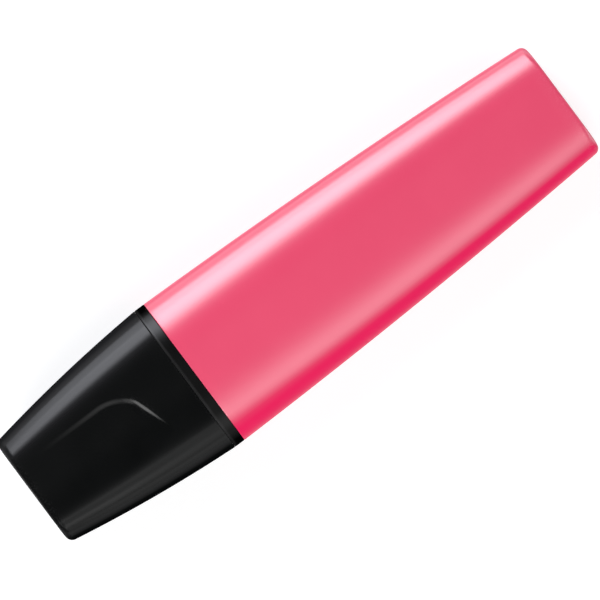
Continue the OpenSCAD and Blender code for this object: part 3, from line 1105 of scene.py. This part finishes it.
@dataclass
class Nib:
    """Fibre rod with a slanted chisel tip.

    Its half thickness at a place is a soft minimum of the rod, sqrt(r^2 - y^2), and of the wedge, which
    starts in a rounded nose at the writing edge and grows by the tangent of the bevel.
    """

    lie: PenLie
    finish: Felt
    holder: NibHolder
    radius: float = 2.5
    reach: float = 6.3
    slant: float = 21.0
    bevel: float = 40.0
    blunt: float = 0.3
    nose: float = 0.35
    softness: float = 14.0
    tail_x: float = 5.5
    tail_end_x: float = 8.0
    tail_r: float = 1.2
    columns: int = 49
    tip_rows: int = 60
    tip_run: float = 8.0
    tip_bias: float = 1.5
    rod_rows: int = 9
    rod_run: float = 30.0

    def thickness(self, ahead: Array, y: Array) -> Array:
        """Half thickness at a distance behind the writing edge.

        Args:
            ahead: Distance from the edge along the pen.
            y: Place across the nib.

        Returns:
            Half of the thickness there.
        """
        deep = ahead * math.cos(math.radians(self.slant))
        nose = self.blunt * np.sqrt(1.0 - (1.0 - np.minimum(deep / self.nose, 1.0)) ** 2)
        wedge = nose + deep * math.tan(math.radians(self.bevel))
        rod = np.sqrt(np.maximum(self.radius**2 - y**2, 0.0))
        p = self.softness
        return rod * wedge / np.maximum((rod**p + wedge**p) ** (1.0 / p), TINY)

    def make(self) -> None:
        """Builds the rod and dresses it."""
        half = np.radians(np.linspace(-90.0, 90.0, self.columns))
        y = self.radius * np.sin(np.concatenate([half, half[-2:0:-1]]))
        side = np.concatenate([np.ones(len(half)), -np.ones(len(half) - 2)])
        tip = self.holder.funnel.neck_x - self.holder.length - self.reach
        edge_x = tip + (self.radius - y) * math.tan(math.radians(self.slant))
        tip_part = np.linspace(0.0, 1.0, self.tip_rows) ** self.tip_bias * self.tip_run
        rod_part = np.linspace(self.tip_run, self.rod_run, self.rod_rows + 1)[1:]
        ahead = np.concatenate([tip_part, rod_part])[:, None] * np.ones_like(y)
        x = np.minimum(edge_x + ahead, self.tail_x)
        rows = joined(x, y, side * self.thickness(ahead, y))
        rows[-1, :, 0] = self.tail_x
        tail = rows[-1] * np.array([0.0, 1.0, 1.0]) * (self.tail_r / self.radius)
        tail[:, 0] = self.tail_end_x
        rows = np.concatenate([rows, tail[None]])
        piece = skin("chisel_nib", self.lie.world(rows), Ends.PINCH)
        merge_doubles(piece)
        fit_out(piece, "nib", Body.PEN, self.finish)


@dataclass(frozen=True)
class ThumbRecess:
    """Shallow recess in the cap's broad face.

    It lies below a straight edge, round a bend that tightens, and left of a slanted edge. Its floor barely
    drops along the straight edge, hinges down towards the slanted one, which stops the thumb, and rises
    again to that edge's end, where the wall narrows as well. Places are measured from the cap's end.
    """

    edge_y: float = 4.4
    start_x: float = 3.9
    bend_x: float = 16.1
    bend_r: float = 7.2
    bend_turn: float = 45.0
    tight_r: float = 2.5
    turn: float = 70.0
    tail: float = 7.4
    depth: float = 0.4
    straight_share: float = 0.22
    straight_most: float = 1.5
    hinge_x: float = 20.0
    hinge_lean: float = 10.0
    hinge_run: float = 2.6
    wall: float = 1.0
    narrowest: float = 0.3
    band: float = 0.7
    band_share: float = 0.4
    band_most: float = 0.3
    face_share: float = 0.92
    tangents: int = 71

    def centres(self) -> tuple[Array, Array]:
        """Middles of the bend's two arcs, which share a tangent where they meet.

        Returns:
            The middle of the wide arc and of the tight one.
        """
        bend = math.radians(self.bend_turn)
        wide = np.array([self.bend_x, self.edge_y - self.bend_r])
        return wide, wide + (self.bend_r - self.tight_r) * np.array([math.sin(bend), math.cos(bend)])

    def turn_end(self) -> Array:
        """Place where the bend ends and the slanted edge begins."""
        turn = math.radians(self.turn)
        return self.centres()[1] + self.tight_r * np.array([math.sin(turn), math.cos(turn)])

    @property
    def end_x(self) -> float:
        """Place where the slanted edge runs out."""
        return float(self.turn_end()[0] + self.tail * math.cos(math.radians(self.turn)))

    def support(self) -> tuple[Array, Array, Array]:
        """Tangents of the edge: inside it, x sin(angle) + y cos(angle) is below each tangent's reach.

        Returns:
            The sine and cosine of each tangent's angle, and its reach from the origin.
        """
        angle = np.radians(np.linspace(0.0, self.turn, self.tangents))
        sin, cos = np.sin(angle), np.cos(angle)
        wide, tight = self.centres()
        on_wide = wide[0] * sin + wide[1] * cos + self.bend_r
        on_tight = tight[0] * sin + tight[1] * cos + self.tight_r
        return sin, cos, np.where(angle < math.radians(self.bend_turn), on_wide, on_tight)

    def edge(self, x: Array) -> tuple[Array, Array]:
        """Course of the edge across the face, the lowest of its tangents: straight, bent, then slanted.

        Args:
            x: Distances from the cap's end.

        Returns:
            The edge's place across the face, and its length for each step along the pen.
        """
        sin, cos, reach = self.support()
        heights = (reach - np.minimum(x, self.end_x)[..., None] * sin) / cos
        return heights.min(axis=-1), 1.0 / cos[heights.argmin(axis=-1)]

    def gather(self, x: Array, half: Array, place: Array) -> Array:
        """Spreads the columns of the face so that a share of them follows the edge closely.

        Args:
            x: Distances from the cap's end.
            half: Half width of the face there.
            place: Even places from 1 to -1.

        Returns:
            Places across the face.
        """
        course, stretch = self.edge(x)
        room = np.minimum(self.band * stretch, half * self.band_most)
        limit = half * self.face_share
        course = np.clip(course, room - limit, limit - room)
        share, outer = self.band_share, 1.0 - self.band_share
        low = (place + 1.0) / outer * (course - room + half) - half
        high = half - (1.0 - place) / outer * (half - course - room)
        middle = course + place / share * room
        return np.where(place < -share, low, np.where(place > share, high, middle))

    def at(self, x: Array, y: Array) -> tuple[Array, Array]:
        """Depth at places on the face.

        Args:
            x: Distances from the cap's end.
            y: Places across the face.

        Returns:
            The depth, and how close the place is to the recess's wall from 0 to 1.
        """
        sin, cos, reach = self.support()
        inside = (reach - x[..., None] * sin - y[..., None] * cos).min(axis=-1)
        begun = (x - self.start_x) / (self.bend_x - self.start_x)
        faint = np.clip(begun, 0.0, self.straight_most) * self.straight_share
        lean = math.radians(self.hinge_lean)
        hinge = (x - self.hinge_x) * math.cos(lean) + (y - self.edge_y) * math.sin(lean)
        turn_x, turn_y = self.turn_end()
        run_out = (x - turn_x) * cos[-1] + (turn_y - y) * sin[-1]
        rise = dulled(run_out / self.tail, 0.0, 1.0)
        floor = self.depth * rise * np.clip(faint + hinge / self.hinge_run, faint, 1.0)
        wall = self.wall * np.maximum(np.sqrt(rise), self.narrowest)
        near = hump(inside, wall) * np.clip(floor / self.depth, 0.0, 1.0)
        return floor * smooth(inside / wall + 0.5), near


@dataclass
class Cap:
    """Black shell that pulls off, with planed broad faces and a thumb recess in each of them."""

    lie: PenLie
    finish: Moulding
    shape: BarrelShape = field(default_factory=BarrelShape)
    section: RoundSection = RoundSection(corner=22, face=90)
    recess: ThumbRecess = ThumbRecess()
    mouth_x: float = -1.85
    length: float = 30.15
    end_width: float = 19.7
    mouth_face: float = 16.8
    end_face: float = 12.6
    end_thickness: float = 12.6
    bow: float = 0.51
    strip_taper: float = 0.5
    bore_strip: float = 10.0
    bore_power: float = 2.85
    bore_rows: int = 12
    end_edge: float = 1.0
    end_steps: int = 10
    end_wear: Span = (0.5, 0.8)
    mouth_edge: float = 0.08
    mouth_steps: int = 4
    mouth_wear: float = 0.3
    slant_margin: float = 0.5
    slant_run: float = 4.0
    row_counts: tuple[int, ...] = (12, 40, 60, 140, 12)
    wall: float = 1.4
    land: float = 1.28
    crease: float = 7.0
    dull_side: float = 0.55
    dull_lean: Span = (0.17, 0.36)
    gloss_lean: Span = (0.3, 0.75)
    dull_end: float = 0.85
    # Run over which the painted highlight beside the crease fades out.
    painted_highlight_run: float = 0.8

    @property
    def end_x(self) -> float:
        """Place of the closed end."""
        return self.mouth_x - self.length

    def share(self, x: Array) -> Array:
        """Share of the way from the mouth to the closed end."""
        return (self.mouth_x - x) / self.length

    def half_face(self, t: Array) -> Array:
        """Half width of the planed faces at the share t of the way to the closed end."""
        return (self.mouth_face + (self.end_face - self.mouth_face) * t) / 2.0

    def half_width(self, t: Array) -> Array:
        """Half width at the share t of the way to the closed end, a bowed taper."""
        mouth = self.shape.seam_width
        return (mouth - (mouth - self.end_width) * bowed(t, self.bow)) / 2.0

    def half_thickness(self, t: Array) -> Array:
        """Half thickness between the planed faces, which taper from where they cut the barrel's section.

        Args:
            t: Share of the way to the closed end.

        Returns:
            Half of the thickness there.
        """
        shape = self.shape
        cut = (self.mouth_face - shape.strip) / (shape.seam_width - shape.strip)
        mouth = shape.seam_thickness * (1.0 - cut**shape.seam_power) ** (1.0 / shape.seam_power)
        return (mouth + (self.end_thickness - mouth) * t) / 2.0

    def at(self, x: Array, inset: Numbers = 0.0) -> Array:
        """Sections along the cap: the barrel's section, planed at the broad faces.

        Args:
            x: Places along the pen.
            inset: How far the section is drawn in all round.

        Returns:
            Rows of stations for RoundSection.
        """
        t = self.share(x)
        power = np.full_like(x, self.shape.seam_power)
        strip = self.shape.strip / 2.0 * (1.0 - self.strip_taper * t)
        width = self.half_width(t)
        cut = (self.half_face(t) - strip) / (width - strip)
        thick = self.half_thickness(t) / (1.0 - cut**power) ** (1.0 / power)
        plane = np.arcsin(cut ** (power / 2.0))
        return np.stack([x, width - inset, thick - inset, strip, power, plane], axis=-1)

    def bore(self, x: Array) -> Array:
        """Sections of the cap's inside.

        Args:
            x: Places along the pen.

        Returns:
            Rows of stations for RoundSection.
        """
        t = self.share(x)
        halves = self.half_width(t) - self.wall, self.half_thickness(t) - self.wall
        strip = self.bore_strip / 2.0 - t
        return np.stack([x, *halves, strip, np.full_like(x, self.bore_power), np.zeros_like(x)], axis=-1)

    def outside(self) -> Array:
        """Sections in order: end, its rounded edge, side with close rows at the recess, mouth edge.

        Returns:
            Rows of stations.
        """
        face = self.at(np.array([self.end_x]), 2.0 * self.end_edge)
        behind, inset = fillet(self.end_edge, self.end_steps)
        end = self.at(self.end_x + behind, inset)
        slant_end = self.recess.end_x + self.slant_margin
        stops = (self.end_edge, self.recess.start_x, self.recess.bend_x, slant_end - self.slant_run)
        stops = (*stops, slant_end, self.length - self.mouth_edge)
        spans = zip(stops, stops[1:], self.row_counts)
        side = self.at(self.end_x + np.concatenate([np.linspace(a, b, n + 1)[1:] for a, b, n in spans]))
        behind, inset = fillet(self.mouth_edge, self.mouth_steps)
        mouth = self.at(self.mouth_x - inset, behind)[1:]
        return np.concatenate([face, end, side, mouth])

    def inside(self) -> Array:
        """Sections in order: even land behind the mouth, then the tapered hollow down to its floor.

        Returns:
            Rows of stations.
        """
        land = np.repeat(self.bore(np.array([self.mouth_x])), 2, axis=0)
        land[1, 0] -= self.land
        deep = np.linspace(land[1, 0], self.end_x + self.wall, self.bore_rows)
        return np.concatenate([land, self.bore(deep[1:])])

    def make(self) -> None:
        """Builds the shell, presses the recesses into it and dresses it."""
        stations = self.outside()
        outer = self.section.points(stations)
        self.gather(outer)
        self.soften(outer, stations)
        steep = steepness(outer) * off_end(stations[:, 0] - self.end_x, self.end_edge)
        wear = self.press(outer)
        inner = self.section.points(self.inside())
        wear = np.concatenate([wear, np.zeros(inner.shape[:2])])
        piece = skin("cap_shell", self.lie.world(np.concatenate([outer, inner])), Ends.FAN, wear)
        x = stations[:, :1]
        # Painted highlight: the level face turns paler near its crease on the +Y side, fading over the run.
        from_crease = np.maximum(self.half_face(self.share(x)) - outer[..., 1], 0.0)
        paint(piece, "painted_highlight", np.exp(-from_crease / self.painted_highlight_run))
        lower = lower_dull(outer, self.dull_side * dulled(steep, *self.dull_lean))
        at_end = np.sin(np.pi * np.clip((x - self.end_x) / self.end_edge, 0.0, 1.0))
        gloss = dulled(steep, *self.gloss_lean) * lower * (1.0 - self.dull_end * at_end)
        paint(piece, "gloss", gloss, 1.0)
        fit_out(piece, "cap", Body.CAP, self.finish)

    def gather(self, outer: Array) -> None:
        """Slides the columns of the level faces along them, towards the recess's edge.

        Args:
            outer: Rows by columns of the outside, changed in place.
        """
        _, sign_z, _, flat = self.section.columns()
        level = ~np.isnan(flat)
        side, place = sign_z[level], flat[level]
        half = np.abs(outer[:, level, 1]).max(axis=1, keepdims=True)
        x = outer[:, level, 0] - self.end_x
        outer[:, level, 1] = side * self.recess.gather(x, half, side * place)

    def soften(self, outer: Array, stations: Array) -> None:
        """Rounds the creases between the planed faces and the sides.

        The height is the smooth minimum -log(exp(-k crown) + exp(-k face)) / k of the rounded section and
        of the level face.

        Args:
            outer: Rows by columns of the outside, changed in place.
            stations: The rows' sections.
        """
        width, thick, strip, power, plane = (stations[:, i, None] for i in range(1, 6))
        out = np.clip((np.abs(outer[..., 1]) - strip) / (width - strip), 0.0, 1.0)
        crown = thick * (1.0 - out**power) ** (1.0 / power)
        face = thick * np.cos(plane) ** (2.0 / power)
        rounding = np.log1p(np.exp(-self.crease * np.abs(crown - face))) / self.crease
        outer[..., 2] = np.sign(outer[..., 2]) * np.maximum(np.minimum(crown, face) - rounding, 0.0)

    def press(self, outer: Array) -> Array:
        """Lowers the outside by the recess on both broad faces, the lower one turned half round the axis.

        Args:
            outer: Rows by columns of the outside, changed in place.

        Returns:
            Wear along the end, the mouth and the recess's edge.
        """
        x, y, z = np.moveaxis(outer, -1, 0)
        side = np.sign(z)
        depth, near = self.recess.at(x - self.end_x, y * side)
        outer[..., 2] -= side * depth
        worn_at, worn_width = self.end_wear
        end = hump(x - self.end_x - worn_at, worn_width)
        end[0] = 0.0
        mouth = hump(x - self.mouth_x, self.mouth_wear)
        return np.clip(end + mouth + near, 0.0, 1.0)


@dataclass
class InnerCap:
    """Soft cup inside the cap that closes over the neck."""

    lie: PenLie
    finish: Moulding
    cap: Cap
    bore_r: float = 3.9
    wall: float = 0.8
    lip: float = 0.55
    lip_length: float = 1.0
    lead: float = 0.3
    floor: float = 1.0
    mouth_x: float = -17.19
    seat: float = 0.05
    rounding: float = 0.2
    columns: int = 80

    def make(self) -> None:
        """Builds the cup and dresses it."""
        end = self.cap.end_x + self.cap.wall + self.seat
        outer = self.bore_r + self.wall
        corners = np.array(
            [
                (0.0, end),
                (outer, end),
                (outer, self.mouth_x - self.lip_length),
                (outer + self.lip, self.mouth_x - self.lip_length),
                (outer + self.lip, self.mouth_x),
                (self.bore_r + self.lead, self.mouth_x),
                (self.bore_r, self.mouth_x - self.lead),
                (self.bore_r, end + self.floor),
                (0.0, end + self.floor),
            ]
        )
        rounded = eased(corners, self.rounding)
        profile = rounded[rounded[:, 0] >= self.rounding]
        piece = skin("sealing_cup", self.lie.world(turned(profile, self.columns)), Ends.FAN)
        fit_out(piece, "inner_cap", Body.CAP, self.finish)


@dataclass
class InkStore:
    """Fibre core and its film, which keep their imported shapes."""

    core: Felt
    film: ClearFilm

    def make(self) -> None:
        """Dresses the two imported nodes."""
        for node, finish in (("ink_reservoir", self.core), ("reservoir_film", self.film)):
            mesh = frame["nodes"][node].data
            mesh.materials.clear()
            mesh.materials.append(finish.material())
            log.info("%s keeps its packed shape", node)


# Studio


@dataclass(frozen=True)
class Softbox:
    """Lamp that faces the pen from an angle off overhead, with a glow that fades towards its edges.

    A bearing of 0 puts it over the upper side, 180 over the lower side and 90 beyond the cap.
    """

    name: str
    bearing: float
    angle: float
    length: float
    width: float
    radiance: float
    inner_fade: float = 0.2
    outer_fade: float = 0.2
    tint: Colour = (1.0, 1.0, 1.0)
    distance: float = 0.5

    def build(self, target: Vector) -> None:
        """Places the lamp so that it faces the target.

        Args:
            target: Middle of the pen.
        """
        lamp = bpy.data.lights.new(self.name, "AREA")
        lamp.shape = "RECTANGLE"
        lamp.size, lamp.size_y = self.length, self.width
        lamp.energy = self.radiance * math.pi * self.length * self.width
        lamp.color = self.tint
        lamp.use_nodes = True
        graph = Graph(lamp.node_tree)
        spot = graph.node("ShaderNodeNewGeometry", None, None, "Parametric")
        across = graph.node("ShaderNodeSeparateXYZ", None, {0: spot}, "Y")
        glow = across.ramp(0.0, self.inner_fade, "LINEAR") * across.ramp(1.0, 1.0 - self.outer_fade)
        light = graph.node("ShaderNodeEmission", None, {"Strength": glow})
        graph.node("ShaderNodeOutputLight", None, {"Surface": light})
        swing = Matrix.Rotation(math.radians(self.bearing), 4, "Z")
        lean = Matrix.Rotation(-math.radians(self.angle), 4, "X")
        reach = Matrix.Translation((0.0, 0.0, self.distance))
        linked(self.name, lamp).matrix_world = Matrix.Translation(target) @ swing @ lean @ reach


@dataclass
class Studio:
    """Floor, sky, lamps and camera."""

    lamps: tuple[Softbox, ...]
    floor_size: float = 6.0
    floor_ticks: int = 25
    floor_gap: float = 0.05
    floor_colour: Colour = (0.5, 0.5, 0.5)
    floor_shade: float = 0.985
    floor_rough: float = 0.8
    floor_lift: float = 0.69
    tooth_scale: float = 0.8
    horizon: float = 0.3
    zenith: float = 0.04
    dome: Span = (0.75, 0.1)
    view_width: float = 95.5
    view_height: float = 1600.0
    view_end: float = 50.0
    lens_sensor: float = 36.0
    roll: float = 36.74
    image_size: float = 600.0
    pen_pixel: Span = (297.25, 295.15)

    def build(self) -> None:
        """Builds everything round the pen."""
        low, high = (Vector(corner) for corner in CAD_BOX)
        middle = (low + high) / 2.0
        self._floor()
        self._sky()
        for lamp in self.lamps:
            lamp.build(middle)
        self._camera(middle)
        bpy.context.scene.view_settings.view_transform = "Standard"

    def _floor(self) -> None:
        """Pale floor just below the pen, with a faint paper tooth."""
        half = self.floor_size / 2.0
        ticks = np.linspace(-half, half, self.floor_ticks)
        x, y = np.meshgrid(ticks, ticks, indexing="ij")
        points = joined(x, y, -self.floor_gap * MM)
        index = np.arange(x.size).reshape(x.shape)
        quads = np.stack([index[:-1, :-1], index[1:, :-1], index[1:, 1:], index[:-1, 1:]], axis=-1)
        mesh = bpy.data.meshes.new("floor")
        mesh.from_pydata(points.reshape(-1, 3).tolist(), [], quads.reshape(-1, 4).tolist())
        material, graph = new_material("pale_floor")
        tooth = graph.noise(graph.place(), self.tooth_scale, detail=3.0)
        shaded = tuple(c * self.floor_shade for c in self.floor_colour)
        base = graph.mix(tooth, self.floor_colour, shaded)
        diffuse = graph.node("ShaderNodeBsdfDiffuse", None, {"Color": base, "Roughness": self.floor_rough})
        rays = ("Is Camera Ray", "Is Glossy Ray", "Is Transmission Ray")
        camera, glossy, through = (graph.node("ShaderNodeLightPath", None, None, ray) for ray in rays)
        lift = (camera + glossy + through) * self.floor_lift
        glow = graph.node("ShaderNodeEmission", None, {"Color": WHITE, "Strength": lift})
        both = graph.node("ShaderNodeAddShader", None, {0: diffuse, 1: glow})
        graph.node("ShaderNodeOutputMaterial", None, {"Surface": both})
        mesh.materials.append(material)
        linked("floor", mesh)

    def _sky(self) -> None:
        """Even studio dome: pale near the horizon, dark overhead where the camera stands."""
        world = bpy.data.worlds.new("studio")
        world.use_nodes = True
        bpy.context.scene.world = world
        graph = Graph(world.node_tree)
        direction = graph.node("ShaderNodeTexCoord", None, None, "Generated")
        height = graph.along(direction, Vector((0.0, 0.0, 1.0)))
        level = self.zenith + height.ramp(*self.dome) * (self.horizon - self.zenith)
        light = graph.node("ShaderNodeBackground", None, {"Color": WHITE, "Strength": level})
        graph.node("ShaderNodeOutputWorld", None, {"Surface": light})

    def _camera(self, middle: Vector) -> None:
        """Camera straight above the broad face, rolled so that the pen climbs to the right.

        Args:
            middle: Middle of the pen.
        """
        data = bpy.data.cameras.new("camera")
        data.sensor_width = self.lens_sensor
        data.lens = self.lens_sensor * self.view_height / self.view_width
        data.clip_end = self.view_end
        camera = linked("camera", data)
        turn = Matrix.Rotation(-math.radians(self.roll), 4, "Z")
        pixel = self.view_width * MM / self.image_size
        right = (self.image_size / 2.0 - self.pen_pixel[0]) * pixel
        down = (self.image_size / 2.0 - self.pen_pixel[1]) * pixel
        offset = turn @ Vector((right, -down, self.view_height * MM))
        camera.matrix_world = Matrix.Translation(middle + offset) @ turn
        bpy.context.scene.camera = camera


def main() -> None:
    """Builds the pieces in order, then the studio."""
    logging.basicConfig(level=logging.INFO, format="%(name)s: %(message)s")
    lie = PenLie.from_frame(BarrelShape().seam_thickness / 2.0)
    seam = lie.mid_plane()
    # The pink turns a deeper pink on its steep lower side as painted shade.
    pink = Moulding(
        "pink_plastic", linear(222, 63, 99), roughness=0.4, specular=0.08, coat_roughness=0.28,
        coat_ior=1.92, mottle=0.012, scuff=0.03, edge_tint=0.05, painted_shade_colour=linear(229, 28, 88), seam=seam,
    )
    # The black turns paler next to the cap's upper crease as a painted highlight.
    black = Moulding(
        "black_cap_plastic", linear(7, 8, 8), coat_roughness=0.19, coat_ior=1.36,
        mottle=0.004, scuff=0.03, edge_tint=0.01, painted_highlight_colour=linear(27, 27, 28), seam=seam,
    )
    satin = Moulding(
        "satin_black_plastic", linear(22, 22, 22), coat_roughness=0.26, coat_ior=1.6,
        mottle=0.02, grain_height=0.003, edge_tint=0.01, collar_dark=0.9,
    )
    polished = Moulding(
        "polished_black_plastic", linear(8, 8, 9), roughness=0.3, coat_roughness=0.08, coat_ior=2.4,
        mottle=0.01, edge_tint=0.02,
    )
    soft = Moulding("natural_soft_plastic", linear(226, 226, 221), specular=0.35, coat=0.0, mottle=0.04)
    # The nib's felt is paler on its +Y side as a painted highlight.
    nib_felt = Felt(
        "nib_felt", linear(233, 50, 70), pale=linear(246, 158, 166), deep=linear(208, 30, 54),
        wet_end=-48.5, wet_length=4.0,
    )
    core_felt = Felt(
        "core_felt", linear(243, 118, 150), pale=linear(250, 180, 198), deep=linear(224, 70, 110),
        wet_end=-30.0, wet_length=8.0,
    )
    film = ClearFilm("clear_film", linear(236, 232, 235), alpha=0.35)
    section = FrontSection(lie, satin)
    holder = NibHolder(lie, polished, section)
    cap = Cap(lie, black)
    pieces = (
        Barrel(lie, pink),
        section,
        holder,
        Nib(lie, nib_felt, holder),
        cap,
        InnerCap(lie, soft, cap),
        InkStore(core_felt, film),
    )
    for piece in pieces:
        piece.make()
    cool = (0.96, 0.98, 1.05)
    # Each lamp has its bearing, angle, length, width, radiance, inner and outer fade, and tint.
    lamps = (
        Softbox("upper_softbox", 0.0, 44.0, 0.31, 0.40, 6.1, 0.38, 0.2, cool),
        Softbox("upper_wall", 0.0, 73.0, 0.31, 0.306, 4.6, 0.3, 0.05, cool),
        Softbox("lower_softbox", 180.0, 42.0, 0.31, 0.84, 2.05, 0.34, 0.66),
        Softbox("lower_wall", 180.0, 80.0, 0.31, 0.20, 0.9),
        Softbox("near_fill", 238.0, 68.0, 0.30, 0.30, 2.8),
        Softbox("far_fill", 143.0, 60.0, 0.30, 0.30, 1.2),
        Softbox("bend_softbox", 138.0, 33.0, 0.13, 0.22, 1.5),
        Softbox("end_softbox", 114.0, 52.0, 0.20, 0.34, 8.6, 0.75, 0.1),
    )
    Studio(lamps).build()


if __name__ == "__main__":
    main()
